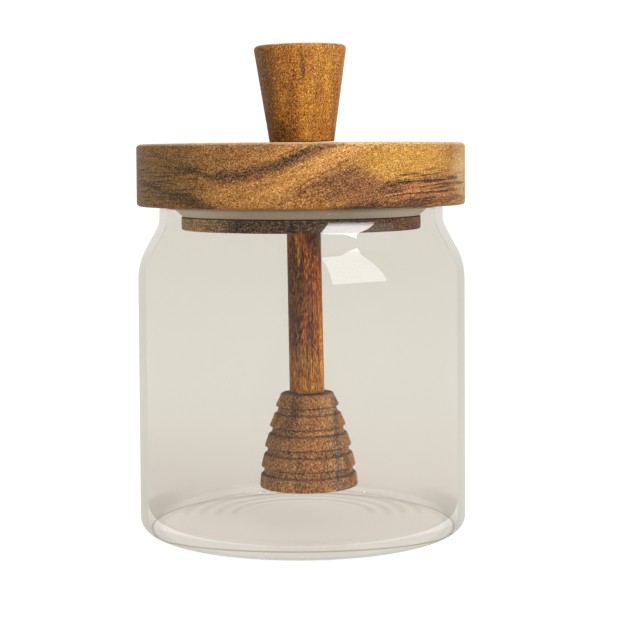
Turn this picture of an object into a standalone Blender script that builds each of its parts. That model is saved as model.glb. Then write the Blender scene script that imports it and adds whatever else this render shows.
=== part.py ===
# Glass honey pot: a clear jar, a turned wooden lid with its plug and soft seal,
# and a wooden dipper that hangs through the lid into the jar.
# The origin is the centre of the base, on the surface that the jar stands on.
import math

import bmesh
import bpy

# Driving dimensions, in millimetres and degrees
MM = 0.001
GAP = 0.3

JAR_RADIUS = 50.0
JAR_HEIGHT = 98.55
JAR_WALL = 2.3
JAR_HEEL_RADIUS = 4.0
JAR_INNER_HEEL_RADIUS = 5.0
JAR_FLOOR_THICKNESS = 3.3
JAR_REST_WIDTH = 3.0
JAR_PUSH_UP = 1.0
NECK_RADIUS = 43.4
NECK_STRAIGHT = 3.05
NECK_BEND_RADIUS = 8.0
SHOULDER_RADIUS = 20.0
SHOULDER_SLOPE = 28.6

LID_RADIUS = 50.2
LID_THICKNESS = 18.8
LID_TOP_ROUND = 1.3
LID_BOTTOM_ROUND = 1.0
HOLE_RADIUS = 6.5

PLUG_RADIUS = 36.65
PLUG_DEPTH = 7.3
PLUG_RIM_HEIGHT = 3.8
PLUG_NECK_RADIUS = 33.0
PLUG_ROUND = 0.6

SEAL_FLARE = 2.0
SEAL_FLARE_HEIGHT = 2.2
SEAL_LIP_HEIGHT = 0.5
SEAL_CHAMFER = 0.3

DIPPER_LEAN = 0.8
DIPPER_OFFSET = 0.42
HANDLE_HEIGHT = 29.5
HANDLE_TOP_RADIUS = 14.15
HANDLE_FOOT_RADIUS = 10.0
HANDLE_TOP_ROUND = 1.3
HANDLE_FOOT_ROUND = 0.4
STEM_TOP_RADIUS = 5.2
STEM_FOOT_RADIUS = 5.4

HEAD_BOTTOM_Z = 12.4
HEAD_RADIUS = 15.1
HEAD_TOP_RADIUS = 8.3
HEAD_TAPER_POWER = 1.59
RING_COUNT = 5
RING_HEIGHT = 3.9
RING_PITCH = 6.17
RING_TOP_ROUND = 0.8
RING_FOOT_ROUND = 0.25
GROOVE_DEPTH = 1.0

JAR_SIDES = 56
LID_SIDES = 56
HANDLE_SIDES = 36
STEM_SIDES = 24
HEAD_SIDES = 32
PUSH_UP_STEPS = 3
MERGE_DISTANCE = 0.001
SHARP_ANGLE = 35.0

# Heights that follow from the driving dimensions
LID_BOTTOM_Z = JAR_HEIGHT + GAP
LID_TOP_Z = LID_BOTTOM_Z + LID_THICKNESS
PLUG_BOTTOM_Z = LID_BOTTOM_Z - PLUG_DEPTH
PLUG_RIM_TOP_Z = PLUG_BOTTOM_Z + PLUG_RIM_HEIGHT
HEAD_HEIGHT = RING_PITCH * (RING_COUNT - 1) + RING_HEIGHT


def clear_scene():
    for old in list(bpy.data.objects):
        bpy.data.objects.remove(old, do_unlink=True)


def finish(name, color, roughness, transmission=0.0, ior=1.5):
    """A Principled BSDF material; none of the pieces is metal."""
    material = bpy.data.materials.new(name)
    material.use_nodes = True
    shader = material.node_tree.nodes["Principled BSDF"]
    shader.inputs["Base Color"].default_value = (*color, 1.0)
    shader.inputs["Roughness"].default_value = roughness
    shader.inputs["Metallic"].default_value = 0.0
    shader.inputs["Transmission Weight"].default_value = transmission
    shader.inputs["IOR"].default_value = ior
    material.diffuse_color = (*color, 1.0)
    return material


def arc(center_r, center_z, radius, start, end, steps):
    """Points (r, z) along a circular arc; angles in degrees from the outward direction."""
    points = []
    for step in range(steps + 1):
        angle = math.radians(start + (end - start) * step / steps)
        points.append((center_r + radius * math.cos(angle), center_z + radius * math.sin(angle)))
    return points


def turned(name, outline, sides, material):
    """Spins an outline of (r, z) points round the vertical axis into one closed solid.

    An outline that starts on the axis also ends on it; any other closes on itself.
    """
    mesh = bpy.data.meshes.new(name)
    form = bmesh.new()
    verts = [form.verts.new((r * MM, 0.0, z * MM)) for r, z in outline]
    edges = [form.edges.new(pair) for pair in zip(verts, verts[1:])]
    if outline[0][0] > 0:
        edges.append(form.edges.new((verts[-1], verts[0])))
    bmesh.ops.spin(
        form,
        geom=verts + edges,
        cent=(0, 0, 0),
        axis=(0, 0, 1),
        angle=2 * math.pi,
        steps=sides,
        use_merge=True,
    )
    bmesh.ops.remove_doubles(form, verts=form.verts, dist=MERGE_DISTANCE * MM)
    bmesh.ops.recalc_face_normals(form, faces=form.faces)
    form.to_mesh(mesh)
    form.free()
    mesh.shade_smooth()
    mesh.set_sharp_from_angle(angle=math.radians(SHARP_ANGLE))
    mesh.materials.append(material)
    piece = bpy.data.objects.new(name, mesh)
    bpy.context.scene.collection.objects.link(piece)
    return piece


def jar_side(inset):
    """The jar's side from the base of the shoulder up to the neck, moved inwards by inset.

    The convex shoulder arc and the concave neck arc share one slope, joined by a straight run.
    """
    slope = math.radians(SHOULDER_SLOPE)
    neck_bottom = JAR_HEIGHT - NECK_STRAIGHT
    neck_center = (NECK_RADIUS + NECK_BEND_RADIUS, neck_bottom)
    step_in = JAR_RADIUS - NECK_RADIUS
    arcs_in = (SHOULDER_RADIUS + NECK_BEND_RADIUS) * (1 - math.cos(slope))
    run = (step_in - arcs_in) / math.sin(slope)
    drop = (SHOULDER_RADIUS + NECK_BEND_RADIUS) * math.sin(slope) + run * math.cos(slope)
    shoulder_center = (JAR_RADIUS - SHOULDER_RADIUS, neck_bottom - drop)
    shoulder = arc(*shoulder_center, SHOULDER_RADIUS - inset, 0, SHOULDER_SLOPE, 5)
    neck = arc(*neck_center, NECK_BEND_RADIUS + inset, 180 + SHOULDER_SLOPE, 180, 4)
    return shoulder + neck


def jar_outline():
    """Outer side from the push-up under the base to the rim, then the inner side down to the floor."""
    rest_outer = JAR_RADIUS - JAR_HEEL_RADIUS
    rest_inner = rest_outer - JAR_REST_WIDTH
    inner_radius = JAR_RADIUS - JAR_WALL
    rim_radius = JAR_WALL / 2
    rim_center = (NECK_RADIUS - rim_radius, JAR_HEIGHT - rim_radius)
    inner_heel = (inner_radius - JAR_INNER_HEEL_RADIUS, JAR_FLOOR_THICKNESS + JAR_INNER_HEEL_RADIUS)
    outline = []
    for step in range(PUSH_UP_STEPS + 1):
        part = step / PUSH_UP_STEPS
        outline.append((rest_inner * part, JAR_PUSH_UP * (1 - part**2)))
    outline += arc(rest_outer, JAR_HEEL_RADIUS, JAR_HEEL_RADIUS, -90, 0, 5)
    outline += jar_side(0.0)
    outline += arc(*rim_center, rim_radius, 0, 180, 6)
    outline += reversed(jar_side(JAR_WALL))
    outline += arc(*inner_heel, JAR_INNER_HEEL_RADIUS, 0, -90, 5)
    outline += [(0.0, JAR_FLOOR_THICKNESS)]
    return outline


def lid_outline():
    """A disc with softened edges and a round hole for the dipper's stem."""
    top_center = (LID_RADIUS - LID_TOP_ROUND, LID_TOP_Z - LID_TOP_ROUND)
    bottom_center = (LID_RADIUS - LID_BOTTOM_ROUND, LID_BOTTOM_Z + LID_BOTTOM_ROUND)
    outline = [(HOLE_RADIUS, LID_BOTTOM_Z)]
    outline += arc(*bottom_center, LID_BOTTOM_ROUND, -90, 0, 3)
    outline += arc(*top_center, LID_TOP_ROUND, 0, 90, 4)
    outline += [(HOLE_RADIUS, LID_TOP_Z)]
    return outline


def plug_outline():
    """A wooden disc under the lid; the seal sits on its rim, round its narrower neck."""
    round_center = (PLUG_RADIUS - PLUG_ROUND, PLUG_BOTTOM_Z + PLUG_ROUND)
    outline = [(HOLE_RADIUS, PLUG_BOTTOM_Z)]
    outline += arc(*round_center, PLUG_ROUND, -90, 0, 3)
    outline += [
        (PLUG_RADIUS, PLUG_RIM_TOP_Z),
        (PLUG_NECK_RADIUS, PLUG_RIM_TOP_Z),
        (PLUG_NECK_RADIUS, LID_BOTTOM_Z - GAP),
        (HOLE_RADIUS, LID_BOTTOM_Z - GAP),
    ]
    return outline


def seal_outline():
    """A soft ring that flares from the plug's rim to a thin lip just inside the glass neck."""
    bottom = PLUG_RIM_TOP_Z + GAP
    top = LID_BOTTOM_Z - GAP
    lip_radius = NECK_RADIUS - JAR_WALL - GAP
    bore = PLUG_NECK_RADIUS + GAP
    return [
        (bore, bottom),
        (PLUG_RADIUS - SEAL_CHAMFER, bottom),
        (PLUG_RADIUS, bottom + SEAL_CHAMFER),
        (PLUG_RADIUS + SEAL_FLARE, bottom + SEAL_FLARE_HEIGHT),
        (lip_radius, top - SEAL_LIP_HEIGHT),
        (lip_radius, top),
        (bore, top),
    ]


def handle_outline(foot_z):
    """A cone that widens upwards, with a softened top edge."""
    top_z = foot_z + HANDLE_HEIGHT
    foot_center = (HANDLE_FOOT_RADIUS - HANDLE_FOOT_ROUND, foot_z + HANDLE_FOOT_ROUND)
    top_center = (HANDLE_TOP_RADIUS - HANDLE_TOP_ROUND, top_z - HANDLE_TOP_ROUND)
    outline = [(0.0, foot_z)]
    outline += arc(*foot_center, HANDLE_FOOT_ROUND, -90, 0, 2)
    outline += arc(*top_center, HANDLE_TOP_ROUND, 0, 90, 4)
    outline += [(0.0, top_z)]
    return outline


def stem_outline(foot_z, top_z):
    return [(0.0, foot_z), (STEM_FOOT_RADIUS, foot_z), (STEM_TOP_RADIUS, top_z), (0.0, top_z)]


def head_radius(height):
    """The beehive's radius at a height above its bottom face."""
    taper = (height / HEAD_HEIGHT) ** HEAD_TAPER_POWER
    return HEAD_RADIUS - (HEAD_RADIUS - HEAD_TOP_RADIUS) * taper


def head_outline(bottom_z):
    """A beehive of rings, each with a rounded upper edge, parted by shallow square grooves."""
    outline = [(0.0, bottom_z)]
    for ring in range(RING_COUNT):
        low = RING_PITCH * ring
        high = low + RING_HEIGHT
        foot = (head_radius(low) - RING_FOOT_ROUND, bottom_z + low + RING_FOOT_ROUND)
        top = (head_radius(high) - RING_TOP_ROUND, bottom_z + high - RING_TOP_ROUND)
        outline += arc(*foot, RING_FOOT_ROUND, -90, 0, 1)
        outline += arc(*top, RING_TOP_ROUND, 0, 90, 3)
        if ring < RING_COUNT - 1:
            groove_low = high
            groove_high = RING_PITCH * (ring + 1)
            outline.append((head_radius(groove_low) - GROOVE_DEPTH, bottom_z + groove_low))
            outline.append((head_radius(groove_high) - GROOVE_DEPTH, bottom_z + groove_high))
    outline.append((0.0, bottom_z + HEAD_HEIGHT))
    return outline


def build_jar():
    glass = finish("clear_glass", (0.93, 0.92, 0.89), 0.02, transmission=1.0, ior=1.5)
    turned("glass_jar", jar_outline(), JAR_SIDES, glass)


def build_lid():
    lid_wood = finish("lid_wood", (0.36, 0.17, 0.06), 0.45)
    plug_wood = finish("plug_wood", (0.13, 0.06, 0.03), 0.55)
    silicone = finish("soft_seal", (0.52, 0.47, 0.40), 0.5)
    turned("lid_disc", lid_outline(), LID_SIDES, lid_wood)
    turned("lid_plug", plug_outline(), LID_SIDES, plug_wood)
    turned("silicone_seal", seal_outline(), LID_SIDES, silicone)


def build_dipper():
    """Handle, stem and head share one leaning axis through the lid's hole."""
    handle_wood = finish("handle_wood", (0.38, 0.17, 0.04), 0.42)
    dipper_wood = finish("dipper_wood", (0.24, 0.10, 0.04), 0.5)
    lean = math.radians(DIPPER_LEAN)
    axis = bpy.data.objects.new("dipper_axis", None)
    axis.location = (DIPPER_OFFSET * MM, 0.0, LID_TOP_Z * MM)
    axis.rotation_euler = (0.0, -lean, 0.0)
    bpy.context.scene.collection.objects.link(axis)
    # The leaning handle keeps the gap at the side where it comes lowest
    handle_foot = GAP + HANDLE_FOOT_RADIUS * math.sin(lean)
    head_bottom = (HEAD_BOTTOM_Z - LID_TOP_Z) / math.cos(lean)
    stem_foot = head_bottom + HEAD_HEIGHT + GAP
    pieces = [
        turned("dipper_handle", handle_outline(handle_foot), HANDLE_SIDES, handle_wood),
        turned("dipper_stem", stem_outline(stem_foot, handle_foot - GAP), STEM_SIDES, dipper_wood),
        turned("dipper_head", head_outline(head_bottom), HEAD_SIDES, dipper_wood),
    ]
    for piece in pieces:
        piece.parent = axis


clear_scene()
build_jar()
build_lid()
build_dipper()
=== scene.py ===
import math

import bmesh
import bpy
from mathutils import Matrix, Quaternion, Vector


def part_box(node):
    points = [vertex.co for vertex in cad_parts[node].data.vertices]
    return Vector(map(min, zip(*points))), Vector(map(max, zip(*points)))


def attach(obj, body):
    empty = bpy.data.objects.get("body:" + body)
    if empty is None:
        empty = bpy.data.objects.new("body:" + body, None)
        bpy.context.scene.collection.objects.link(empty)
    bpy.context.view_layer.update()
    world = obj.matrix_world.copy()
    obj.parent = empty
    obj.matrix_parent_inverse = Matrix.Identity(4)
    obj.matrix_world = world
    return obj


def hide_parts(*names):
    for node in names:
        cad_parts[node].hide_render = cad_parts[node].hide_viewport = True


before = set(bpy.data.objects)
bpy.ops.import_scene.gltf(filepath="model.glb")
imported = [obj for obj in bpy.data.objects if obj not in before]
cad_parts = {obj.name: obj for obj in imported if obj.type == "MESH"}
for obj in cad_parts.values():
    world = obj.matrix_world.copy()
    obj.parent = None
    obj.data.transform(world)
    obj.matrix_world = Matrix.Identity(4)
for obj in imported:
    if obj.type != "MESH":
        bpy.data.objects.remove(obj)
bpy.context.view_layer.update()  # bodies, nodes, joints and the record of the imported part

mm = 0.001


class Wire:  # one socket that sums can be written with
    def __init__(self, bench, socket):
        self.bench = bench
        self.socket = socket

    def sum(self, operation, *others):
        return self.bench.add("ShaderNodeMath", {"operation": operation}, dict(enumerate((self, *others))))

    def __add__(self, other):
        return self.sum("ADD", other)

    def __sub__(self, other):
        return self.sum("SUBTRACT", other)

    def __rsub__(self, other):
        return (self * -1.0) + other

    def __mul__(self, other):
        return self.sum("MULTIPLY", other)

    def __truediv__(self, other):
        return self.sum("DIVIDE", other)

    def __rtruediv__(self, other):
        return (self ** -1.0) * other

    def __pow__(self, other):
        return self.sum("POWER", other)

    def __abs__(self):
        return self.sum("ABSOLUTE")

    def __lt__(self, other):
        return self.sum("LESS_THAN", other)

    def __gt__(self, other):
        return self.sum("GREATER_THAN", other)


def radial(x, y):  # distance from the upright axis
    return (x**2.0 + y**2.0) ** 0.5


def setStops(ramp, stops):
    while len(ramp.elements) < len(stops):
        ramp.elements.new(1.0)
    for element, (place, color) in zip(ramp.elements, stops):
        element.position = place
        element.color = (*color, 1.0)


def setCurve(mapping, points, straight):
    line = mapping.curves[0]
    while len(line.points) < len(points):
        line.points.new(0.5, 0.5)
    for point, place in zip(line.points, points):
        point.location = place
        point.handle_type = "VECTOR" if straight else "AUTO"  # straight lines never overshoot
    mapping.extend = "HORIZONTAL"
    mapping.update()


class Bench:  # writes nodes into one tree, of a material or of a shape
    def __init__(self, tree):
        self.tree = tree
        self.tree.nodes.clear()

    def add(self, kind, settings=None, sockets=None, output=0):
        node = self.tree.nodes.new(kind)
        for name, value in (settings or {}).items():
            if name == "stops":
                setStops(node.color_ramp, value)
            elif name in ("curve", "corners"):
                setCurve(node.mapping, value, name == "corners")
            else:
                setattr(node, name, value)
        for name, value in (sockets or {}).items():
            self.plug(node.inputs[name], value)
        return Wire(self, node.outputs[output]) if len(node.outputs) else None

    def plug(self, socket, value):
        if isinstance(value, Wire):
            self.tree.links.new(value.socket, socket)
        elif socket.type == "RGBA":
            socket.default_value = (*value, 1.0)
        else:
            socket.default_value = value

    def outputs(self, wire):
        return [Wire(self, socket) for socket in wire.socket.node.outputs]

    def ease(self, value, low, high):  # 0 at low, 1 at high, smooth between them
        sockets = {"Value": value, "From Min": low, "From Max": high}
        return self.add("ShaderNodeMapRange", {"interpolation_type": "SMOOTHSTEP"}, sockets)

    def until(self, value, low, high):  # 1 at low, 0 at high
        return 1.0 - self.ease(value, low, high)

    def mix(self, share, first, second):
        return self.add("ShaderNodeMix", {"data_type": "RGBA"}, {0: share, 6: first, 7: second}, 2)

    def mixShader(self, share, first, second):
        return self.add("ShaderNodeMixShader", None, {0: share, 1: first, 2: second})

    def vector(self, operation, *parts):
        return self.add("ShaderNodeVectorMath", {"operation": operation}, dict(enumerate(parts)))

    def scaled(self, place, size):
        return self.add("ShaderNodeVectorMath", {"operation": "SCALE"}, {0: place, "Scale": size})

    def split(self, place):
        return self.outputs(self.add("ShaderNodeSeparateXYZ", None, {0: place}))

    def joined(self, x, y, z):
        return self.add("ShaderNodeCombineXYZ", None, {0: x, 1: y, 2: z})

    def spot(self):  # the place on the object, in millimetres
        return self.scaled(self.add("ShaderNodeTexCoord", None, None, 3), 1 / mm)

    def noise(self, place, scale=1.0, detail=3.0, roughness=0.5, distortion=0.0, output=0):
        sockets = {"Vector": place, "Scale": scale, "Detail": detail}
        sockets.update({"Roughness": roughness, "Distortion": distortion})
        return self.add("ShaderNodeTexNoise", None, sockets, output)

    def follow(self, value, points, span, reach, kind="curve"):  # a line through points (value, result)
        low, high = span
        bottom, top = reach
        curve = [((a - low) / (high - low), (b - bottom) / (top - bottom)) for a, b in points]
        place = (value - low) / (high - low)
        return self.add("ShaderNodeFloatCurve", {kind: curve}, {"Value": place}) * (top - bottom) + bottom


def tone(red, green, blue):  # a colour as seen on a screen, 0 to 255, as linear light
    def unbend(value):
        share = value / 255
        return share / 12.92 if share <= 0.04045 else ((share + 0.055) / 1.055) ** 2.4

    return tuple(unbend(value) for value in (red, green, blue))


def addObject(name, data):
    item = bpy.data.objects.new(name, data)
    bpy.context.scene.collection.objects.link(item)
    return item


def newMaterial(name):
    material = bpy.data.materials.new(name)
    material.use_nodes = True
    return material, Bench(material.node_tree)


def finishMaterial(bench, settings, varying):
    shader = bench.add("ShaderNodeBsdfPrincipled", None, {**settings, **varying})
    bench.add("ShaderNodeOutputMaterial", None, {"Surface": shader})


# Camera at the photo's viewing angle
cameraLook = {
    "lens": 95.5,
    "sensor": 36.0,
    "distance": 0.505,
    "height": 0.11323,
    "pitch": 2.5,
    "roll": 0.40,
    "shiftX": 0.0143,
    "shiftY": -0.1295,
}


def addCamera(look):
    data = bpy.data.cameras.new("photoCamera")
    data.lens = look["lens"]
    data.sensor_width = look["sensor"]
    data.shift_x = look["shiftX"]
    data.shift_y = look["shiftY"]
    camera = addObject("photoCamera", data)
    place = Matrix.Translation((0, -look["distance"], look["height"]))
    tilt = Matrix.Rotation(math.radians(90 - look["pitch"]), 4, "X")
    roll = Matrix.Rotation(math.radians(-look["roll"]), 4, "Z")
    camera.matrix_world = place @ tilt @ roll
    bpy.context.scene.camera = camera
    bpy.context.scene.view_settings.view_transform = "Standard"
    rays = bpy.context.scene.cycles  # light runs a long way round inside the glass base
    rays.max_bounces = 32
    rays.glossy_bounces = 24
    rays.transmission_bounces = 24


# Soft studio light: a white room with a bright ceiling, and a window-like panel at the front right
studioLook = {
    "windowSide": 38.4,
    "windowRise": 33.4,
    "windowReach": 1.1,
    "windowAim": 0.08,
    "windowTurn": 30.9,
    "windowTilt": -5.6,
    "windowRoll": 3.6,
    "windowWidth": 0.624,
    "windowHeight": 1.026,
    "windowPower": 18.0,
    "room": [
        (0.0, (1.06, 1.06, 1.06)),
        (0.10, (1.06, 1.06, 1.06)),
        (0.24, (0.9, 0.89, 0.87)),
        (0.86, (0.9, 0.89, 0.87)),
        (0.93, (3.0, 2.98, 2.92)),
    ],
    "floorTone": (0.24, 0.238, 0.235),
    "floorShade": 0.985,
    "floorGlow": 0.80,
    "floorSize": 6.0,
    "floorDrop": 0.02,
}


def towards(side, rise):  # the direction at an angle to the right of the camera and above the floor
    side, rise = math.radians(side), math.radians(rise)
    return Vector((math.sin(side) * math.cos(rise), -math.cos(side) * math.cos(rise), math.sin(rise)))


def addStudio(look):
    data = bpy.data.lights.new("windowPanel", "AREA")
    data.shape = "RECTANGLE"
    data.size = look["windowWidth"]
    data.size_y = look["windowHeight"]
    data.energy = look["windowPower"]
    panel = addObject("windowPanel", data)
    away = towards(look["windowSide"], look["windowRise"]) * look["windowReach"]
    panel.location = Vector((0, 0, look["windowAim"])) + away
    turn = towards(look["windowTurn"], look["windowTilt"]).to_track_quat("Z", "Y")
    roll = Quaternion((0, 0, 1), math.radians(look["windowRoll"]))
    panel.rotation_euler = (turn @ roll).to_euler()

    world = bpy.data.worlds.new("studio")
    world.use_nodes = True
    bpy.context.scene.world = world
    bench = Bench(world.node_tree)
    rise = bench.split(bench.add("ShaderNodeTexCoord"))[2]
    glow = bench.add("ShaderNodeValToRGB", {"stops": look["room"]}, {0: rise})
    light = bench.add("ShaderNodeBackground", None, {"Color": glow, "Strength": 1.0})
    bench.add("ShaderNodeOutputWorld", None, {"Surface": light})

    size = look["floorSize"]
    mesh = bpy.data.meshes.new("studioFloor")
    z = -look["floorDrop"] * mm
    corners = [(-size, -size, z), (size, -size, z), (size, size, z), (-size, size, z)]
    mesh.from_pydata(corners, [], [(0, 1, 2, 3)])
    floor = addObject("studioFloor", mesh)
    material, bench = newMaterial("paleFloor")
    place = bench.add("ShaderNodeTexCoord", None, None, 3)
    grain = bench.noise(place, 3.0, 2.0)
    low = tuple(share * look["floorShade"] for share in look["floorTone"])
    color = bench.mix(grain, low, look["floorTone"])
    settings = {"Roughness": 0.8, "Specular IOR Level": 0.2, "Emission Strength": look["floorGlow"]}
    settings["Emission Color"] = (1.0, 1.0, 1.0)
    finishMaterial(bench, settings, {"Base Color": color})
    mesh.materials.append(material)


# Shapes
def arc(centerR, centerZ, radius, start, end, steps):
    points = []
    for step in range(steps + 1):
        angle = math.radians(start + (end - start) * step / steps)
        points.append((centerR + radius * math.cos(angle), centerZ + radius * math.sin(angle)))
    return points


def filled(outline, stride):  # the same outline with a point at least every stride
    points = [outline[0]]
    for last in outline[1:]:
        r, z = points[-1]
        steps = max(1, math.ceil(math.dist((r, z), last) / stride))
        shares = [step / steps for step in range(1, steps)]
        points += [(r + (last[0] - r) * share, z + (last[1] - z) * share) for share in shares] + [last]
    return points


def outward(mesh):
    form = bmesh.new()
    form.from_mesh(mesh)
    bmesh.ops.remove_doubles(form, verts=form.verts, dist=0.0005 * mm)
    bmesh.ops.recalc_face_normals(form, faces=form.faces)
    form.to_mesh(mesh)
    form.free()


def turnedMesh(name, outline, sides):  # each point of the outline makes a ring, or one point on the axis
    starts, places, faces = [], [], []
    for r, z in outline:
        starts.append(len(places))
        for side in range(sides if r > 0 else 1):
            angle = 2 * math.pi * side / sides
            places.append((r * mm * math.cos(angle), r * mm * math.sin(angle), z * mm))

    def corner(point, side):
        return starts[point] + (side % sides if outline[point][0] > 0 else 0)

    closed = outline[0][0] > 0
    for point in range(len(outline) if closed else len(outline) - 1):
        after = (point + 1) % len(outline)
        for side in range(sides):
            low = (corner(point, side), corner(point, side + 1))
            high = (corner(after, side + 1), corner(after, side))
            faces.append(tuple(dict.fromkeys(low + high)))  # a triangle beside the axis
    mesh = bpy.data.meshes.new(name)
    mesh.from_pydata(places, [], faces)
    outward(mesh)
    return mesh


def shapeTree(name, sizes):  # an empty Geometry Nodes tree with one named input for each size
    tree = bpy.data.node_groups.new(name, "GeometryNodeTree")
    kinds = {int: "NodeSocketInt", float: "NodeSocketFloat"}
    tree.interface.new_socket("Shape", in_out="INPUT", socket_type="NodeSocketGeometry")
    for label, value in sizes.items():
        tree.interface.new_socket(label, in_out="INPUT", socket_type=kinds[type(value)])
    tree.interface.new_socket("Finish", in_out="INPUT", socket_type="NodeSocketMaterial")
    tree.interface.new_socket("Shape", in_out="OUTPUT", socket_type="NodeSocketGeometry")
    bench = Bench(tree)
    entry = bench.add("NodeGroupInput")
    return tree, bench, {wire.socket.name: wire for wire in bench.outputs(entry) if wire.socket.name}


def closeTree(bench, shape, finish):  # the export drops instances, so they end as plain mesh
    real = bench.add("GeometryNodeRealizeInstances", None, {"Geometry": shape})
    painted = bench.add("GeometryNodeSetMaterial", None, {"Geometry": real, "Material": finish})
    bench.add("NodeGroupOutput", None, {"Shape": painted})


def grown(name, tree, sizes, material, start=None):
    piece = addObject(name, start or bpy.data.meshes.new(name))
    modifier = piece.modifiers.new(tree.name, "NODES")
    modifier.node_group = tree
    values = {**sizes, "Finish": material}
    for item in tree.interface.items_tree:
        if item.in_out == "INPUT" and item.name in values:
            modifier[item.identifier] = values[item.name]
    evaluated = piece.evaluated_get(bpy.context.evaluated_depsgraph_get())
    mesh = bpy.data.meshes.new_from_object(evaluated)
    piece.modifiers.remove(modifier)
    piece.data = mesh
    mesh.name = name
    outward(mesh)
    return piece


def smooth(piece, angle):
    piece.data.shade_smooth()
    piece.data.set_sharp_from_angle(angle=math.radians(angle))


def settle(piece, node):
    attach(piece, "root")
    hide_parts(node)
    print("made", piece.name, "with", len(piece.data.polygons), "faces")


# The hand of the turner: a wooden piece is never quite round
def makeWearTree():
    sizes = {"Wear": 0.05, "Spread": 9.0}
    tree, bench, size = shapeTree("turnersHand", sizes)
    position = bench.add("GeometryNodeInputPosition")
    normal = bench.add("GeometryNodeInputNormal")
    seen = bench.noise(bench.scaled(position, 1 / mm), 1 / size["Spread"], 2.0) - 1.0
    offset = bench.scaled(normal, seen * size["Wear"] * mm)
    moved = bench.add("GeometryNodeSetPosition", None, {"Geometry": size["Shape"], "Offset": offset})
    closeTree(bench, moved, size["Finish"])
    return tree


# Clear glass with a faint warm cast: walls are films seen straight through, and only the base bends light
def glassFinish(look):
    material, bench = newMaterial("clearGlass")
    place = bench.spot()
    cords = bench.noise(place, 1 / look["cordSize"], 2.0, 0.5, 0.6)
    cast = bench.mix(cords, look["paleTone"], look["clearTone"])
    x, y, z = bench.split(place)
    reach = radial(x, y)
    floor = bench.until(reach, *look["floorRim"]) * bench.until(z, *look["floorTop"])
    heel = bench.ease(reach, *look["heelRim"]) * bench.until(z, *look["heelTop"])
    deep = bench.vector("MULTIPLY", bench.vector("MULTIPLY", cast, cast), cast)
    color = bench.mix(floor, bench.mix(heel, cast, deep), look["floorTone"])
    settings = {"Roughness": 0.0, "Transmission Weight": 1.0, "IOR": look["ior"]}
    settings["Specular Tint"] = look["gleam"]
    base = bench.add("ShaderNodeBsdfPrincipled", None, {**settings, "Base Color": color})

    facing = bench.add("ShaderNodeLayerWeight", None, {"Blend": 0.5}, 1)
    outside = reach > bench.follow(z, look["wallLine"], look["wallSpan"], look["wallReach"], "corners")
    eye = look["eyeLevel"]
    drift = ((eye - z) / eye) ** 2.0 * look["edgeDrift"]
    edgeOn = drift - bench.ease(z, *look["neckFoot"]) * look["neckEdge"] + look["edgeOn"]
    corner = bench.until(z, *look["cornerTop"]) * bench.ease(abs(x), *look["cornerSide"])
    corner = corner.sum("MAXIMUM", bench.until(z, *look["footTop"]) * bench.ease(y, *look["footTurn"]))
    seen = bench.ease(facing - edgeOn, -look["edgeSoft"], look["edgeSoft"])
    rim = outside * seen.sum("MAXIMUM", corner)  # painted shade where the wall is seen edge on, and at its lower corners
    rim = rim * (1.0 - bench.ease(z, *look["shoulder"]) * look["neckPale"])

    ring = bench.until(abs(reach - look["ringRadius"]), *look["ringWidth"]) * (z < look["ringTop"])
    away = abs(z + y * look["frontLineTilt"] + look["frontLineDrop"])
    frontLine = bench.until(away, *look["frontLineWidth"]) * outside * bench.ease(y, *look["frontLineFront"])
    swirl = (reach * (2 * math.pi / look["swirlPitch"])).sum("SINE") * 0.5 + 0.5
    swirl = swirl * bench.ease(reach, *look["swirlStart"]) * bench.until(reach, *look["swirlEnd"])
    swirl = swirl * bench.ease(y, *look["swirlBack"])
    swirl = swirl * (abs(z - look["floorLevel"]) < look["swirlDepth"]) * look["swirl"]
    # painted shade: the ring, the front line and the floor rings darken the film
    lines = (ring * look["ringLine"]).sum("MAXIMUM", frontLine * look["frontLineShade"]).sum("MAXIMUM", swirl)

    # painted shade: the film is darker towards the bottom of the jar
    high = bench.ease(z, *look["filmRise"])
    film = bench.add("ShaderNodeBsdfTransparent", None, {"Color": look["lowFilm"]})
    for share, name in ((high, "film"), (rim, "edgeShadeFilm"), (floor, "floorFilm"), (lines, "lineShadeFilm")):
        over = bench.add("ShaderNodeBsdfTransparent", None, {"Color": look[name]})
        film = bench.mixShader(share, film, over)
    bright = bench.ease(z, *look["brightFoot"]) * bench.until(z, *look["brightTop"])
    bright = bright * bench.ease(x, *look["brightLeft"]) * bench.until(x, *look["brightRight"]) * (y < 0.0)
    glow = bright * look["neckShine"] + look["shine"]
    mirrored = outside * (glow + (facing**5.0) * look["edgeShine"])
    gloss = bench.add("ShaderNodeBsdfAnisotropic", None, {"Color": (1.0, 1.0, 1.0), "Roughness": 0.0})
    wall = bench.mixShader(mirrored, film, gloss)
    clear = bench.ease(z, *look["baseTop"]) * look["baseShare"] + (1.0 - look["baseShare"])
    bench.add("ShaderNodeOutputMaterial", None, {"Surface": bench.mixShader(clear, base, wall)})
    return material


def makeJarTree():
    tree, bench, size = shapeTree("blownJar", jar["relief"])
    point = bench.scaled(bench.add("GeometryNodeInputPosition"), 1 / mm)
    x, y, z = bench.split(point)
    reach = radial(x, y)
    ripple = (reach * (2 * math.pi) / size["Ripple Pitch"]).sum("SINE") * size["Ripple Height"]
    inside = (reach > size["Inner Edge"]) * (reach < size["Outer Edge"])
    onFloor = abs(z - size["Floor Height"]) < jar["floorPlay"]
    lift = bench.joined(0.0, 0.0, ripple * inside * onFloor * mm)
    wave = bench.noise(point, 1 / size["Wave Size"], 1.0) - 0.5
    wave = wave * size["Wall Wave"] * (z > jar["waveFoot"]) * mm
    push = bench.scaled(bench.add("GeometryNodeInputNormal"), wave)
    offset = bench.vector("ADD", lift, push)
    moved = bench.add("GeometryNodeSetPosition", None, {"Geometry": size["Shape"], "Offset": offset})
    closeTree(bench, moved, size["Finish"])
    return tree


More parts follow.
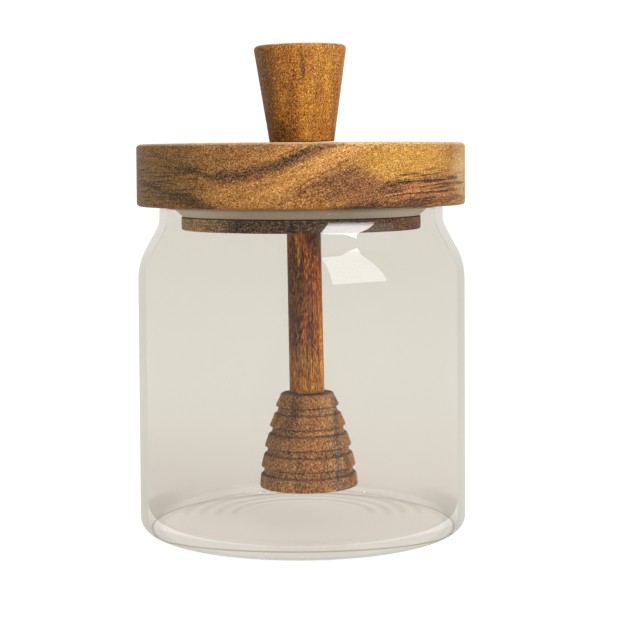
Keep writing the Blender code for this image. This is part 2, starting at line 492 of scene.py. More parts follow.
jar = {
    "wall": 2.3,
    "heelRadius": 4.0,
    "innerHeelRadius": 5.0,
    "floorThickness": 3.3,
    "restWidth": 3.0,
    "pushUp": 1.0,
    "neckRadius": 43.4,
    "neckStraight": 3.05,
    "neckBend": 8.0,
    "shoulderRadius": 20.0,
    "shoulderSlope": 28.6,
    "sides": 224,
    "floorStep": 0.5,
    "wallStep": 3.0,
    "pushUpSteps": 40,
    "roundSteps": 14,
    "shoulderSteps": 16,
    "bendSteps": 12,
    "crease": 50,
    "floorPlay": 0.05,
    "waveFoot": 4.5,
    "lowWallLine": [(0.0, 3.7), (3.2, 3.7), (4.0, 2.4), (5.0, 1.8)],  # height, depth below the outer side
    "glass": {
        "clearTone": (0.775, 0.760, 0.715),
        "paleTone": (0.765, 0.748, 0.702),
        "cordSize": 26.0,
        "ior": 1.5,
        "gleam": (0.3, 0.3, 0.3),
        "baseShare": 0.07,  # the part of the base that bends light
        "baseTop": (2.0, 8.5),
        "floorTone": (0.99, 0.985, 0.97),
        "floorRim": (42.5, 44.5),
        "floorTop": (3.6, 5.0),
        "heelRim": (45.5, 46.5),
        "heelTop": (3.5, 5.5),
        "film": (0.877, 0.868, 0.843),
        "lowFilm": (0.866, 0.848, 0.825),
        "filmRise": (12.0, 48.0),
        "edgeShadeFilm": (0.726, 0.712, 0.674),  # painted shade on the wall's edge; a look through the wall's edge crosses two surfaces, not four
        "neckPale": 0.36,
        "shoulder": (74.0, 90.0),
        "floorFilm": (0.950, 0.932, 0.912),
        "lineShadeFilm": (0.42, 0.385, 0.31),
        "wallSpan": (0.0, 100.0),
        "wallReach": (30.0, 60.0),
        "eyeLevel": 113.0,
        "edgeOn": 0.7,  # the slant at which the wall is seen edge on
        "edgeDrift": 0.0072,
        "edgeSoft": 0.005,
        "neckEdge": 0.021,
        "neckFoot": (88.0, 95.0),
        "cornerTop": (3.5, 7.0),
        "cornerSide": (36.0, 47.0),
        "footTop": (4.3, 5.3),
        "footTurn": (12.0, -12.0),
        "ringLine": 0.5,  # painted shade: a thin dark ring where the base rests
        "ringRadius": 46.4,
        "ringWidth": (0.12, 0.5),
        "ringTop": 1.2,
        "frontLineShade": 0.85,  # painted shade: a dark line along the front of the base, where the floor meets the wall
        "frontLineTilt": 0.089,
        "frontLineDrop": 1.22,
        "frontLineWidth": (0.10, 0.34),
        "frontLineFront": (-10.0, -18.0),
        "swirl": 0.20,  # painted shade: faint dark rings at the back of the floor
        "swirlPitch": 5.0,
        "swirlDepth": 0.2,
        "swirlStart": (13.0, 22.0),
        "swirlEnd": (35.0, 40.0),
        "swirlBack": (-8.0, 6.0),
        "shine": 0.020,
        "edgeShine": 0.08,
        "neckShine": 0.054,  # stronger gloss on the neck, where the window is mirrored
        "brightFoot": (86.0, 89.5),
        "brightTop": (93.5, 95.0),
        "brightLeft": (3.0, 7.0),
        "brightRight": (24.0, 28.0),
    },
    "relief": {
        "Ripple Pitch": 4.2,
        "Ripple Height": 0.015,
        "Inner Edge": 8.0,
        "Outer Edge": 39.0,
        "Floor Height": 3.3,
        "Wall Wave": 0.02,
        "Wave Size": 22.0,
    },
}


def jarSide(inset, radius, height):  # from the foot of the shoulder up to the neck
    lean = jar["shoulderSlope"]
    slope = math.radians(lean)
    shoulder, bend = jar["shoulderRadius"], jar["neckBend"]
    neckBottom = height - jar["neckStraight"]
    stepIn = radius - jar["neckRadius"]
    straight = (stepIn - (shoulder + bend) * (1 - math.cos(slope))) / math.sin(slope)
    drop = (shoulder + bend) * math.sin(slope) + straight * math.cos(slope)
    middle = (radius - shoulder, neckBottom - drop)
    upper = arc(*middle, shoulder - inset, 0, lean, jar["shoulderSteps"])
    turn = arc(jar["neckRadius"] + bend, neckBottom, bend + inset, 180 + lean, 180, jar["bendSteps"])
    return upper + turn


def buildJar():
    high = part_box("glass_jar")[1]
    radius, height = high.x / mm, high.z / mm
    heel, wall, innerHeel = jar["heelRadius"], jar["wall"], jar["innerHeelRadius"]
    steps, floorTop = jar["roundSteps"], jar["floorThickness"]
    restOuter = radius - heel
    restInner = restOuter - jar["restWidth"]
    shares = [step / jar["pushUpSteps"] for step in range(jar["pushUpSteps"] + 1)]
    pushUp = [(restInner * share, jar["pushUp"] * (1 - share**2)) for share in shares]
    rim = wall / 2
    outline = pushUp + arc(restOuter, heel, heel, -90, 0, steps)
    outline += filled([outline[-1]] + jarSide(0.0, radius, height), jar["wallStep"])[1:]
    outline += arc(jar["neckRadius"] - rim, height - rim, rim, 0, 180, steps)
    outline += filled([outline[-1]] + jarSide(wall, radius, height)[::-1], jar["wallStep"])[1:]
    floorEdge = radius - wall - innerHeel
    outline += arc(floorEdge, floorTop + innerHeel, innerHeel, 0, -90, steps)
    outline += filled([(floorEdge, floorTop), (0.0, floorTop)], jar["floorStep"])[1:]
    mesh = turnedMesh("jarGlass", outline, jar["sides"])
    wallLine = [(z, radius - depth) for z, depth in jar["lowWallLine"]]
    wallLine += [(floorTop + innerHeel, radius - rim)]
    wallLine += [(z, r) for r, z in jarSide(rim, radius, height)[::4]]
    finish = glassFinish({**jar["glass"], "wallLine": wallLine, "floorLevel": floorTop})
    piece = grown("jarGlass", makeJarTree(), jar["relief"], finish, mesh)
    smooth(piece, jar["crease"])
    settle(piece, "glass_jar")


def oval(color, share, at, size):  # a soft spot of another tone, measured along and across the grain
    return {"tone": color, "share": share, "at": at, "size": size}


# Oiled hardwood: a drifting figure, growth lines, fibres, pores, and streaks drawn where the photo has them
woodHabits = {  # what all the woods share
    "fibreShift": 0.25,
    "gap": (0.32, 0.56),
    "gapLeast": 0.4,
    "patchCore": 0.1,
    "streakEdge": 1.7,
    "streakStart": (0.06, 0.3),
    "widest": (0.0, 8.0),
    "vein": (0.51, 0.58),
    "toolScale": (0.05, 1.6),
    "darkest": 0.03,
    "screenGamma": 2.2,
    "fleckSoft": 0.14,
    "fleckGain": 1.4,
    "poreSoft": 0.06,
    "poreRough": 0.2,
    "fibreRough": 0.12,
    "bumpDepth": 0.0002,
}


def woodFinish(name, look, origin, lean, grainUp, skin=None):
    material, bench = newMaterial(name)
    habit = woodHabits
    sockets = {
        "Vector": bench.add("ShaderNodeTexCoord", None, None, 3),
        "Location": origin,
        "Rotation": (0.0, lean, 0.0),
        "Scale": (mm, mm, mm),
    }
    x, y, z = bench.split(bench.add("ShaderNodeMapping", {"vector_type": "TEXTURE"}, sockets))
    along, depth, across = (z, y, x) if grainUp else (x, y, z)
    flow = bench.follow(along, look["flow"], look["span"], look["reach"]) if look["flow"] else 0.0
    grain = bench.joined(along, depth, across - flow)  # fibres run beside the flow line

    def seen(scale, detail, roughness, place=grain):
        return bench.noise(bench.vector("MULTIPLY", place, scale), 1.0, detail, roughness)

    drift = bench.noise(grain, 1 / look["driftSize"], 2.0, output=1)
    drift = bench.vector("MULTIPLY", bench.vector("SUBTRACT", drift, (0.5, 0.5, 0.5)), look["drift"])
    figure = seen(look["figureScale"], 3.0, 0.55, bench.vector("ADD", grain, drift))
    fibre = seen(look["fibreScale"], 4.0, 0.7)
    ripe = figure + (fibre - 0.5) * habit["fibreShift"]
    color = bench.add("ShaderNodeValToRGB", {"stops": look["tones"]}, {0: ripe})

    strength = skin(bench, x, y) if skin else 1.0
    ragged = (fibre - 0.5) * look["feather"]

    def inside(patch):
        farAlong = (along - patch["at"][0]) / patch["size"][0]
        farAcross = (across + ragged - patch["at"][1]) / patch["size"][1]
        near = bench.until(farAlong**2.0 + farAcross**2.0, habit["patchCore"], 1.0)
        return near * patch["share"] * strength

    for patch in look["patches"]:
        color = bench.mix(inside(patch), color, patch["tone"])
    least = habit["gapLeast"]
    broken = bench.ease(fibre, *habit["gap"]) * (1.0 - least) + least  # streaks thin out between fibres
    for streak in look["streaks"]:
        middle = bench.follow(along, streak["middle"], look["span"], look["reach"])
        half = bench.follow(along, streak["half"], look["span"], habit["widest"])
        far = abs(across + ragged - middle) / half.sum("MAXIMUM", 0.01)
        mask = bench.until(far, 0.0, habit["streakEdge"]) * bench.ease(half, *habit["streakStart"]) * broken
        color = bench.mix(mask * streak["share"] * strength, color, streak["tone"])
    if look["veined"]:
        vein = bench.ease(seen(look["veinScale"], 3.0, 0.6), *habit["vein"])
        for patch in look["veined"]:
            color = bench.mix(vein * inside(patch), color, patch["tone"])

    if look["grooves"]:  # painted shade: dark lines in the corners of the grooves
        groove = look["grooves"]
        level = (along - groove["bottom"]).sum("FLOORED_MODULO", groove["pitch"])
        for corner in groove["corners"]:
            grooveShade = bench.until(abs(level - corner), groove["width"] * 0.4, groove["width"])
            color = bench.mix(grooveShade * groove["share"], color, groove["tone"])

    lines = (figure * look["lineCount"] * 2 * math.pi).sum("SINE")
    speckle = seen(look["speckleScale"], 2.0, 0.8)
    wide, tall = habit["toolScale"]
    tooling = bench.noise(bench.joined(x * wide, y * wide, z * tall), 1.0, 2.0, 0.7)
    light = lines * look["lines"] + (fibre - 0.5) * look["fibre"]
    light = bench.scaled(look["spread"], light + (tooling - 0.5) * look["tooling"])  # blue varies the most
    light = bench.vector("MAXIMUM", bench.vector("ADD", light, (1.0, 1.0, 1.0)), (0.1, 0.1, 0.1))
    color = bench.vector("MULTIPLY", bench.vector("MULTIPLY", color, look["level"]), light)
    gamma = habit["screenGamma"]
    pale = bench.add("ShaderNodeGamma", None, {"Color": color, "Gamma": 1 / gamma})
    pale = bench.vector("ADD", pale, (speckle - 0.5) * look["speckle"])  # specks lighten all tones alike
    pale = bench.vector("MAXIMUM", pale, (habit["darkest"],) * 3)
    color = bench.add("ShaderNodeGamma", None, {"Color": pale, "Gamma": gamma})
    fleckEdge, poreEdge = look["fleckEdge"], look["poreEdge"]
    fleck = bench.ease(seen(look["fleckScale"], 1.0, 0.5), fleckEdge, fleckEdge + habit["fleckSoft"])
    lit = bench.vector("ADD", bench.scaled(color, habit["fleckGain"]), look["fleckTone"])
    color = bench.mix(fleck * look["flecks"], color, lit)
    pores = bench.ease(seen(look["poreScale"], 1.0, 0.4), poreEdge, poreEdge + habit["poreSoft"])
    color = bench.mix(pores * look["pores"], color, bench.vector("MULTIPLY", color, look["poreShade"]))
    if look["edge"]:  # painted highlight: the turned upper edge is paler
        edge = look["edge"]
        wearAndEdgeHighlight = bench.ease(z, *edge["height"]) * edge["share"]
        wearAndEdgeHighlight = wearAndEdgeHighlight * bench.ease(radial(x, y), *edge["reach"])
        color = bench.mix(wearAndEdgeHighlight, color, edge["tone"])

    relief = fibre * 0.5 + speckle * 0.5 - pores
    sockets = {"Strength": look["bump"], "Distance": habit["bumpDepth"], "Height": relief}
    bump = bench.add("ShaderNodeBump", None, sockets)
    rough = pores * habit["poreRough"] + fibre * habit["fibreRough"] + look["rough"]
    varying = {"Base Color": color, "Roughness": rough, "Normal": bump}
    finishMaterial(bench, {"Specular IOR Level": look["shine"]}, varying)
    return material


lid = {
    "holeRadius": 6.5,
    "topRound": 1.3,
    "bottomRound": 1.0,
    "topSteps": 9,
    "bottomSteps": 7,
    "stride": 2.0,
    "sides": 224,
    "crease": 50,
    "wear": {"Wear": 0.06, "Spread": 12.0},
    "skinReach": (36.0, 47.0),
    "skinDepth": (-6.0, 14.0),
    "finish": "lidWood",
    "wood": {
        "level": (0.495, 0.437, 0.29),
        "flow": [(-50, 0), (-26, 0), (-18, 0.5), (-10, 2.5), (0, 6.9)]
        + [(10, 11.3), (20, 15.5), (28, 17.3), (50, 19)],
        "driftSize": 26.0,
        "drift": (9.0, 3.0, 2.4),
        "figureScale": (0.02, 0.06, 0.16),
        "tones": [
            (0.34, tone(118, 78, 44)),
            (0.44, tone(156, 106, 60)),
            (0.54, tone(180, 128, 76)),
            (0.66, tone(206, 156, 98)),
        ],
        "lineCount": 9.0,
        "lines": 0.05,
        "fibreScale": (0.22, 0.5, 1.9),
        "fibre": 0.9,
        "feather": 5.0,
        "speckleScale": (2.4, 3.4, 3.4),
        "speckle": 1.15,
        "spread": (0.8, 1.05, 1.3),
        "tooling": 0.0,
        "fleckScale": (1.0, 1.9, 1.9),
        "flecks": 0.6,
        "fleckEdge": 0.56,
        "fleckTone": (0.05, 0.045, 0.025),
        "grooves": None,
        "veinScale": (0.08, 0.08, 1.7),
        "veined": [
            oval(tone(70, 36, 20), 1.0, (36.0, 5.6), (19.0, 7.4)),
            oval(tone(64, 44, 30), 0.75, (-42.0, 8.0), (20.0, 10.0)),
            oval(tone(92, 56, 32), 0.6, (20.0, 3.5), (30.0, 6.0)),
        ],
        # painted highlight along the lid's rounded top edge
        "edge": {
            "height": (17.9, 18.7),
            "reach": (46.0, 48.5),
            "share": 0.35,
            "tone": tone(206, 180, 140),
        },
        "poreScale": (0.5, 2.4, 2.4),
        "poreEdge": 0.62,
        "pores": 0.6,
        "poreShade": (0.42, 0.36, 0.34),
        "bump": 0.35,
        "rough": 0.5,
        "shine": 0.1,
        "span": (-52.0, 52.0),
        "reach": (-2.0, 21.0),
        "patches": [
            oval(tone(138, 104, 60), 0.9, (-44.0, 10.0), (24.0, 22.0)),
            oval(tone(166, 122, 76), 0.75, (-20.0, 15.0), (15.0, 6.0)),
            oval(tone(182, 132, 78), 0.8, (-14.0, 4.0), (16.0, 5.0)),
            oval(tone(198, 151, 74), 0.95, (30.0, 13.5), (19.0, 8.0)),
            oval(tone(132, 84, 52), 0.8, (14.5, 7.0), (9.0, 5.5)),
            oval(tone(166, 112, 68), 0.75, (36.5, 4.6), (17.0, 6.4)),
            oval(tone(86, 50, 30), 0.7, (25.0, 5.8), (5.0, 1.8)),
            # painted highlight: the pale right end of the lid
            oval(tone(206, 174, 132), 0.8, (49.5, 11.0), (6.5, 12.0)),
        ],
        "streaks": [
            {
                "tone": tone(66, 50, 34),
                "share": 0.9,
                "middle": [(-40, 11.2), (-30.6, 11.0), (-27, 9.6), (-19, 9.6)]
                + [(-12, 11.4), (-6, 12.7), (0, 15.6), (3, 17.5)],
                "half": [(-38, 0.0), (-33, 0.7), (-26, 1.0), (-20, 1.9)]
                + [(-13, 1.1), (-8, 1.6), (-2, 1.2), (2, 0.0)],
            },
            {
                "tone": tone(58, 36, 28),
                "share": 0.7,
                "middle": [(-6, 13.5), (-1.4, 14.3), (3.6, 16.3), (7.7, 17.6), (14, 18.2)],
                "half": [(-6, 0.0), (-1, 1.5), (4, 1.7), (8, 1.1), (14, 0.0)],
            },
            {
                "tone": tone(66, 46, 34),
                "share": 0.7,
                "middle": [(-44, 6.5), (-36, 4.0), (-30, 1.8), (-26, 0.6)],
                "half": [(-44, 0.0), (-38, 1.2), (-31, 1.9), (-27, 1.3), (-23, 0.0)],
            },
            {
                "tone": tone(204, 150, 88),
                "share": 0.8,
                "middle": [(-10, 4.8), (-4.2, 6.8), (4.9, 11.5), (12, 15.2), (20, 18.0)],
                "half": [(-12, 0.0), (-4, 1.5), (5, 1.8), (12, 1.6), (20, 1.0)],
            },
            {
                "tone": tone(52, 38, 28),
                "share": 0.85,
                "middle": [(8, 0.2), (16, 0.6), (26, 0.9), (36, 1.6), (46, 2.4)],
                "half": [(8, 0.0), (14, 1.3), (24, 1.7), (36, 1.0), (46, 0.3)],
            },
            {
                "tone": tone(84, 46, 26),
                "share": 0.8,
                "middle": [(28, 6.8), (34, 7.8), (42, 8.4)],
                "half": [(28, 0.0), (34, 0.45), (42, 0.0)],
            },
        ],
    },
}


def lidSkin(bench, x, y):  # the drawn streaks fade behind the front of the rim
    return bench.ease(radial(x, y), *lid["skinReach"]) * bench.until(y, *lid["skinDepth"])


def buildWooden(name, look, corners, node, skin=None):  # a closed ring of wood on the jar's axis
    mesh = turnedMesh(name, filled(corners, look["stride"]), look["sides"])
    origin = (0, 0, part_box(node)[0].z)
    finish = woodFinish(look["finish"], look["wood"], origin, 0.0, False, skin)
    piece = grown(name, wearTree, look["wear"], finish, mesh)
    smooth(piece, look["crease"])
    settle(piece, node)


def buildLid():
    low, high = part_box("lid_disc")
    radius, bottom, top = high.x / mm, low.z / mm, high.z / mm
    lowRound, topRound = lid["bottomRound"], lid["topRound"]
    corners = [(lid["holeRadius"], bottom)]
    corners += arc(radius - lowRound, bottom + lowRound, lowRound, -90, 0, lid["bottomSteps"])
    corners += arc(radius - topRound, top - topRound, topRound, 0, 90, lid["topSteps"])
    corners += [(lid["holeRadius"], top)]
    buildWooden("lidDisc", lid, corners, "lid_disc", lidSkin)


plug = {
    "rimHeight": 3.8,
    "neckRadius": 33.0,
    "round": 0.6,
    "roundSteps": 6,
    "stride": 1.5,
    "sides": 192,
    "crease": 40,
    "wear": {"Wear": 0.04, "Spread": 9.0},
    "finish": "plugWood",
    "wood": {
        **lid["wood"],
        "flow": [],
        "level": (0.48, 0.27, 0.09),
        "tones": [
            (0.34, tone(76, 46, 24)),
            (0.45, tone(100, 64, 36)),
            (0.55, tone(118, 80, 48)),
            (0.66, tone(142, 102, 66)),
        ],
        "patches": [
            # painted highlight: a pale glare at the plug's left end
            oval(tone(214, 214, 224), 0.9, (-34.0, 2.0), (16.0, 8.0)),
            oval(tone(74, 44, 16), 0.6, (4.0, 2.0), (20.0, 8.0)),
        ],
        "streaks": [],
        "veined": [oval(tone(66, 42, 20), 0.6, (0.0, 2.0), (60.0, 12.0))],
        "edge": None,
        "speckleScale": (2.0, 3.0, 3.0),
        "speckle": 2.2,
        "fibre": 2.2,
        "flecks": 0.8,
        "fleckEdge": 0.50,
    },
}


def buildPlug():
    low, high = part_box("lid_plug")
    radius, bottom, top = high.x / mm, low.z / mm, high.z / mm
    small, rimTop = plug["round"], bottom + plug["rimHeight"]
    corners = [(lid["holeRadius"], bottom)]
    corners += arc(radius - small, bottom + small, small, -90, 0, plug["roundSteps"])
    corners += [(radius, rimTop), (plug["neckRadius"], rimTop)]
    corners += [(plug["neckRadius"], top), (lid["holeRadius"], top)]
    buildWooden("lidPlug", plug, corners, "lid_plug")


# Soft milky ring between plug and glass
seal = {
    "flareHeight": 2.2,
    "flare": 2.0,
    "lip": 0.5,
    "chamfer": 0.3,
    "gap": 0.3,
    "flareStride": 0.6,
    "stride": 1.2,
    "sides": 192,
    "crease": 30,
    "tone": tone(178, 163, 145),
    "shade": 0.72,
    # painted light: the seal is paler towards its sides
    "paleTone": tone(206, 194, 177),
    "sideLightReach": (14.0, 34.0),
    "sideLightShare": 0.7,
    "cloudScale": 0.7,
    "cloudRough": 0.1,
    "rough": 0.6,
    "grainScale": 1.5,
    "bump": 0.2,
    "bumpDepth": 0.0001,
    "shine": 0.1,
}


def sealFinish(look):
    material, bench = newMaterial("softSeal")
    spot = bench.spot()
    x, y, z = bench.split(spot)
    cloud = bench.noise(bench.joined(x, y, z * 0.2), look["cloudScale"], 4.0, 0.7)
    color = bench.mix(cloud, tuple(share * look["shade"] for share in look["tone"]), look["tone"])
    # painted light: paler towards the sides
    pale = bench.ease(abs(x), *look["sideLightReach"]) * look["sideLightShare"]
    color = bench.mix(pale, color, look["paleTone"])
    grain = bench.noise(spot, look["grainScale"], 2.0)
    sockets = {"Strength": look["bump"], "Distance": look["bumpDepth"], "Height": grain}
    bump = bench.add("ShaderNodeBump", None, sockets)
    varying = {"Base Color": color, "Roughness": cloud * look["cloudRough"] + look["rough"], "Normal": bump}
    finishMaterial(bench, {"Specular IOR Level": look["shine"]}, varying)
    return material


def buildSeal():
    low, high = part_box("silicone_seal")
    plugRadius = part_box("lid_plug")[1].x / mm
    bore = plug["neckRadius"] + seal["gap"]
    bottom, top, lip = low.z / mm, high.z / mm, high.x / mm
    chamfer = seal["chamfer"]
    flare = [
        (plugRadius, bottom + chamfer),
        (plugRadius + seal["flare"], bottom + seal["flareHeight"]),
        (lip, top - seal["lip"]),
    ]
    outline = [(bore, bottom), (plugRadius - chamfer, bottom)]
    outline += filled(flare, seal["flareStride"]) + [(lip, top), (bore, top)]
    mesh = turnedMesh("softSeal", filled(outline, seal["stride"]), seal["sides"])
    mesh.materials.append(sealFinish(seal))
    piece = addObject("softSeal", mesh)
    smooth(piece, seal["crease"])
    settle(piece, "silicone_seal")


# The dipper: handle, stem and beehive head on one leaning axis
dipper = {
    "lean": 0.8,
    "offset": 0.42,
    "gap": 0.3,
    "handleHeight": 29.5,
    "handleTop": 14.15,
    "handleFoot": 10.0,
    "topRound": 1.3,
    "topSteps": 8,
    "footRound": 0.4,
    "footSteps": 4,
    "handleStride": 0.4,
    "handleSides": 144,
    "handleWear": {"Wear": 0.10, "Spread": 7.0},
    "latheMarks": [(5.8, 0.05), (17.0, 0.07)],  # height, depth
    "markWidth": 0.3,
    "stemTop": 5.2,
    "stemFoot": 5.4,
    "stemStride": 1.0,
    "stemSides": 96,
    "stemWear": {"Wear": 0.10, "Spread": 6.0},
    "headBottom": 12.4,
    "crease": 40,
    "head": {
        "Rings": 5,
        "Ring Height": 3.9,
        "Ring Pitch": 6.17,
        "Foot Radius": 15.1,
        "Top Radius": 8.3,
        "Taper": 1.59,
        "Groove Depth": 1.0,
        "Upper Round": 0.8,
        "Foot Round": 0.25,
        "Sides": 144,
        "Wear": 0.12,
        "Spread": 5.0,
    },
    "wood": {
        "level": (0.68, 0.79, 0.80),
        "flow": [],
        "driftSize": 18.0,
        "drift": (8.0, 2.0, 2.0),
        "figureScale": (0.022, 0.16, 0.16),
        "tones": [
            (0.34, tone(120, 74, 38)),
            (0.44, tone(150, 96, 52)),
            (0.54, tone(172, 112, 64)),
            (0.66, tone(196, 134, 84)),
        ],
        "lineCount": 7.0,
        "lines": 0.06,
        "fibreScale": (0.18, 2.0, 2.0),
        "fibre": 1.3,
        "feather": 2.5,
        "speckleScale": (1.7, 2.4, 2.4),
        "speckle": 1.3,
        "spread": (0.8, 1.05, 1.3),
        "tooling": 0.25,
        "fleckScale": (1.0, 2.0, 2.0),
        "flecks": 0.6,
        "fleckEdge": 0.54,
        "fleckTone": (0.04, 0.036, 0.022),
        # painted shade in the corners of the head's grooves
        "grooves": {
            "bottom": -105.26,
            "pitch": 6.17,
            "corners": [4.05, 6.1],
            "width": 0.42,
            "share": 0.6,
            "tone": tone(58, 38, 28),
        },
        "veinScale": (0.05, 1.5, 1.5),
        "veined": [],
        "edge": None,
        "poreScale": (0.5, 2.4, 2.4),
        "poreEdge": 0.61,
        "pores": 0.6,
        "poreShade": (0.40, 0.34, 0.34),
        "bump": 0.35,
        "rough": 0.5,
        "shine": 0.15,
        "span": (-110.0, 35.0),
        "reach": (-16.0, 16.0),
        "patches": [oval(tone(176, 104, 52), 0.7, (-92.0, 1.5), (20.0, 5.0))],
        "streaks": [
            {
                "tone": tone(92, 72, 68),
                "share": 0.8,
                "middle": [(-106.0, 9.4), (-95.0, 9.0), (-84.0, 8.6)],
                "half": [(-108.0, 1.6), (-95.0, 1.2), (-82.0, 0.6)],
            },
        ],
    },
}
dipper["stemWood"] = {
    **dipper["wood"],
    "tones": [
        (0.34, tone(104, 52, 18)),
        (0.44, tone(146, 78, 28)),
        (0.54, tone(168, 94, 38)),
        (0.66, tone(196, 126, 58)),
    ],
    "level": (0.96, 0.80, 0.14),
    "speckleScale": (0.6, 3.6, 3.6),
    "speckle": 1.5,
    "fibre": 2.4,
    "feather": 0.8,
    "grooves": None,
    "patches": [
        oval(tone(70, 42, 20), 0.85, (-48.0, -3.0), (26.0, 4.0)),
        oval(tone(84, 44, 20), 0.85, (-28.0, 3.4), (9.0, 3.6)),
        oval(tone(150, 106, 78), 0.7, (-72.0, 0.0), (12.0, 9.0)),
        # painted highlight down the stem's lit right side
        oval(tone(204, 140, 66), 0.7, (-60.0, 5.4), (20.0, 1.6)),
    ],
    "streaks": [
        {
            "tone": tone(206, 158, 66),
            "share": 0.9,
            "middle": [(-38.0, -1.7), (-27.0, -2.2)],
            "half": [(-38.0, 0.0), (-34.0, 0.5), (-28.0, 0.6), (-25.0, 0.2)],
        },
        {
            "tone": tone(88, 46, 24),
            "share": 0.7,
            "middle": [(-52.0, 0.2), (-44.0, 0.8), (-36.0, 1.8)],
            "half": [(-52.0, 0.0), (-46.0, 0.7), (-38.0, 0.5), (-34.0, 0.0)],
        },
    ],
    "veined": [oval(tone(72, 38, 18), 0.7, (-46.0, 0.0), (40.0, 12.0))],
}
dipper["handleWood"] = {
    **dipper["wood"],
    "level": (0.52, 0.43, 0.125),
    "grooves": None,
    "tones": [
        (0.34, tone(148, 94, 36)),
        (0.44, tone(166, 110, 44)),
        (0.54, tone(180, 124, 52)),
        (0.66, tone(196, 142, 68)),
    ],
    "speckleScale": (2.2, 3.2, 3.2),
    "speckle": 1.2,
    "fibre": 0.9,
    "poreScale": (0.8, 2.4, 2.4),
    "pores": 0.4,
    "tooling": 0.8,
    # painted highlight along the handle's rounded top edge
    "edge": {
        "height": (29.2, 30.1),
        "reach": (10.5, 12.6),
        "share": 0.25,
        "tone": tone(190, 160, 110),
    },
    "patches": [
        # partly the wood's darker tone, partly painted shade on the handle's left side
        oval(tone(128, 86, 44), 0.8, (14.0, -12.5), (26.0, 7.0)),
        # painted sheen on the handle's upper right
        oval(tone(206, 160, 90), 0.2, (24.0, 8.0), (9.0, 5.0)),
        oval(tone(96, 54, 24), 0.7, (2.0, -6.0), (6.0, 3.5)),
    ],
    "streaks": [
        {
            "tone": tone(92, 52, 26),
            "share": 0.8,
            "middle": [(17.0, 0.6), (22.0, 0.9), (27.0, 0.4)],
            "half": [(17.0, 0.0), (20.0, 0.35), (24.0, 0.6), (27.5, 0.0)],
        },
    ],
}


def dipperAxis():
    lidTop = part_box("lid_disc")[1].z
    lean = Matrix.Rotation(math.radians(-dipper["lean"]), 4, "Y")
    return Matrix.Translation((dipper["offset"] * mm, 0.0, lidTop)) @ lean


def dipperFinish(name, wood):
    axis = dipperAxis()
    return woodFinish(name, wood, axis.translation, math.radians(-dipper["lean"]), True)


# Each ring of the head is one turn of rows: a small foot round, a side, an upper round and a groove
headRows = {
    "footEnd": 2.0,
    "sideEnd": 6.0,
    "upperEnd": 11.0,
    "grooveStart": 12.0,
    "count": 16,
}


def makeHeadTree():
    tree, bench, size = shapeTree("beehiveHead", dipper["head"])
    footEnd, sideEnd, upperEnd = headRows["footEnd"], headRows["sideEnd"], headRows["upperEnd"]
    grooveStart, count = headRows["grooveStart"], headRows["count"]
    rows = size["Rings"] * count + 1.0
    sockets = {"Size X": 1.0, "Size Y": 1.0, "Vertices X": size["Sides"] + 1.0, "Vertices Y": rows}
    grid = bench.add("GeometryNodeMeshGrid", None, sockets)
    index = bench.add("GeometryNodeInputIndex")
    row = index.sum("MODULO", rows)
    turn = (index / rows).sum("FLOOR") / size["Sides"] * (2 * math.pi)
    above = (row - 1.0).sum("MAXIMUM", 0.0)
    ring = (above / count).sum("FLOOR")
    step = above - ring * count
    last = ring > (size["Rings"] - 1.5)
    height = size["Ring Pitch"] * (size["Rings"] - 1.0) + size["Ring Height"]

    def radiusAt(level):
        drop = (size["Foot Radius"] - size["Top Radius"]) * (level / height) ** size["Taper"]
        return size["Foot Radius"] - drop

    def blend(share, first, final):
        return first + (final - first) * share

    low = ring * size["Ring Pitch"]
    high = low + size["Ring Height"]
    nextLow = blend(last, low + size["Ring Pitch"], high)
    lowRadius, highRadius = radiusAt(low), radiusAt(high)
    foot, upper = size["Foot Round"], size["Upper Round"]

    footTurn = (step - footEnd) * (math.pi / 2 / footEnd)
    footR = lowRadius - foot + footTurn.sum("COSINE") * foot
    footZ = low + foot + footTurn.sum("SINE") * foot
    sideShare = (step - footEnd) / (sideEnd - footEnd)
    sideR = blend(sideShare, lowRadius, highRadius)
    sideZ = blend(sideShare, low + foot, high - upper)
    upperTurn = (step - sideEnd) * (math.pi / 2 / (upperEnd - sideEnd))
    upperR = highRadius - upper + upperTurn.sum("COSINE") * upper
    upperZ = high - upper + upperTurn.sum("SINE") * upper
    grooveShare = (step - grooveStart) / (count - 1 - grooveStart)
    grooveLow = highRadius - size["Groove Depth"]
    grooveHigh = blend(last, radiusAt(nextLow) - size["Groove Depth"], 0.0)
    grooveR = blend(grooveShare, grooveLow, grooveHigh)
    grooveZ = blend(grooveShare, high, nextLow)

    afterFoot, afterSide, afterUpper = footEnd + 0.5, sideEnd - 0.5, upperEnd + 0.5
    isFoot, isGroove = step < afterFoot, step > afterUpper
    isSide = (step > afterFoot) * (step < afterSide)
    isUpper = (step > afterSide) * (step < afterUpper)
    outer = footR * isFoot + sideR * isSide + upperR * isUpper + grooveR * isGroove
    level = footZ * isFoot + sideZ * isSide + upperZ * isUpper + grooveZ * isGroove
    started = row > 0.5
    outer, level = outer * started, level * started

    def placed(distance):
        return bench.joined(turn.sum("COSINE") * distance, turn.sum("SINE") * distance, level)

    seen = bench.noise(placed(outer), 1 / size["Spread"], 2.0) - 0.5
    wearAndEdgeHighlight = outer + seen * size["Wear"] * (outer > 1.0)
    sockets = {"Geometry": grid, "Position": bench.scaled(placed(wearAndEdgeHighlight), mm)}
    shaped = bench.add("GeometryNodeSetPosition", None, sockets)
    welded = bench.add("GeometryNodeMergeByDistance", None, {"Geometry": shaped, "Distance": 0.001 * mm})
    closeTree(bench, welded, size["Finish"])
    return tree


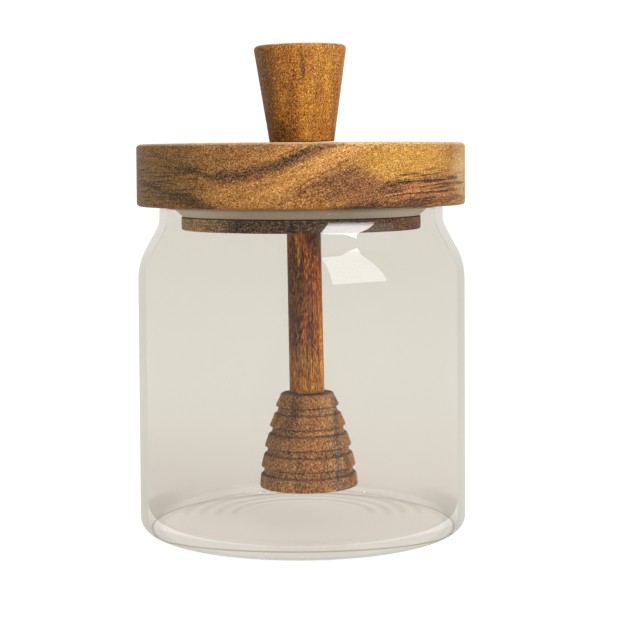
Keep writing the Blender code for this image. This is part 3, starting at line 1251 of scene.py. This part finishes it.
def buildHandle(foot, top):
    low, high = dipper["footRound"], dipper["topRound"]
    corners = [(0.0, foot)]
    corners += arc(dipper["handleFoot"] - low, foot + low, low, -90, 0, dipper["footSteps"])
    corners += arc(dipper["handleTop"] - high, top - high, high, 0, 90, dipper["topSteps"])
    corners += [(0.0, top)]
    outline = []
    for r, z in filled(corners, dipper["handleStride"]):
        marks = 0.0
        for at, deep in dipper["latheMarks"]:
            marks += deep * math.exp(-(((z - foot - at) / dipper["markWidth"]) ** 2))
        outline.append((max(0.0, r - marks), z))
    mesh = turnedMesh("dipperHandle", outline, dipper["handleSides"])
    wood = dipperFinish("handleWood", dipper["handleWood"])
    return grown("dipperHandle", wearTree, dipper["handleWear"], wood, mesh)


def buildStem(low, high):
    corners = [(0.0, low), (dipper["stemFoot"], low), (dipper["stemTop"], high), (0.0, high)]
    mesh = turnedMesh("dipperStem", filled(corners, dipper["stemStride"]), dipper["stemSides"])
    wood = dipperFinish("stemWood", dipper["stemWood"])
    return grown("dipperStem", wearTree, dipper["stemWear"], wood, mesh)


def buildHead(bottom):
    wood = dipperFinish("headWood", dipper["wood"])
    piece = grown("dipperHead", makeHeadTree(), dipper["head"], wood)
    piece.data.transform(Matrix.Translation((0, 0, bottom * mm)))
    return piece


def buildDipper():
    axis = dipperAxis()
    lidTop = axis.translation.z / mm
    lean = math.radians(dipper["lean"])
    gap, head = dipper["gap"], dipper["head"]
    foot = gap + dipper["handleFoot"] * math.sin(lean)
    headBottom = (dipper["headBottom"] - lidTop) / math.cos(lean)
    headTop = headBottom + head["Ring Pitch"] * (head["Rings"] - 1) + head["Ring Height"]
    handle = buildHandle(foot, foot + dipper["handleHeight"])
    stem = buildStem(headTop + gap, foot - gap)
    for piece, slot, node in (
        (handle, "handle_wood", "dipper_handle"),
        (stem, "dipper_wood", "dipper_stem"),
        (buildHead(headBottom), "dipper_wood", "dipper_head"),
    ):
        piece.data.transform(axis)
        smooth(piece, dipper["crease"])
        settle(piece, node)


wearTree = makeWearTree()
addCamera(cameraLook)
addStudio(studioLook)
print("camera and studio ready")
buildJar()
buildLid()
buildPlug()
buildSeal()
buildDipper()
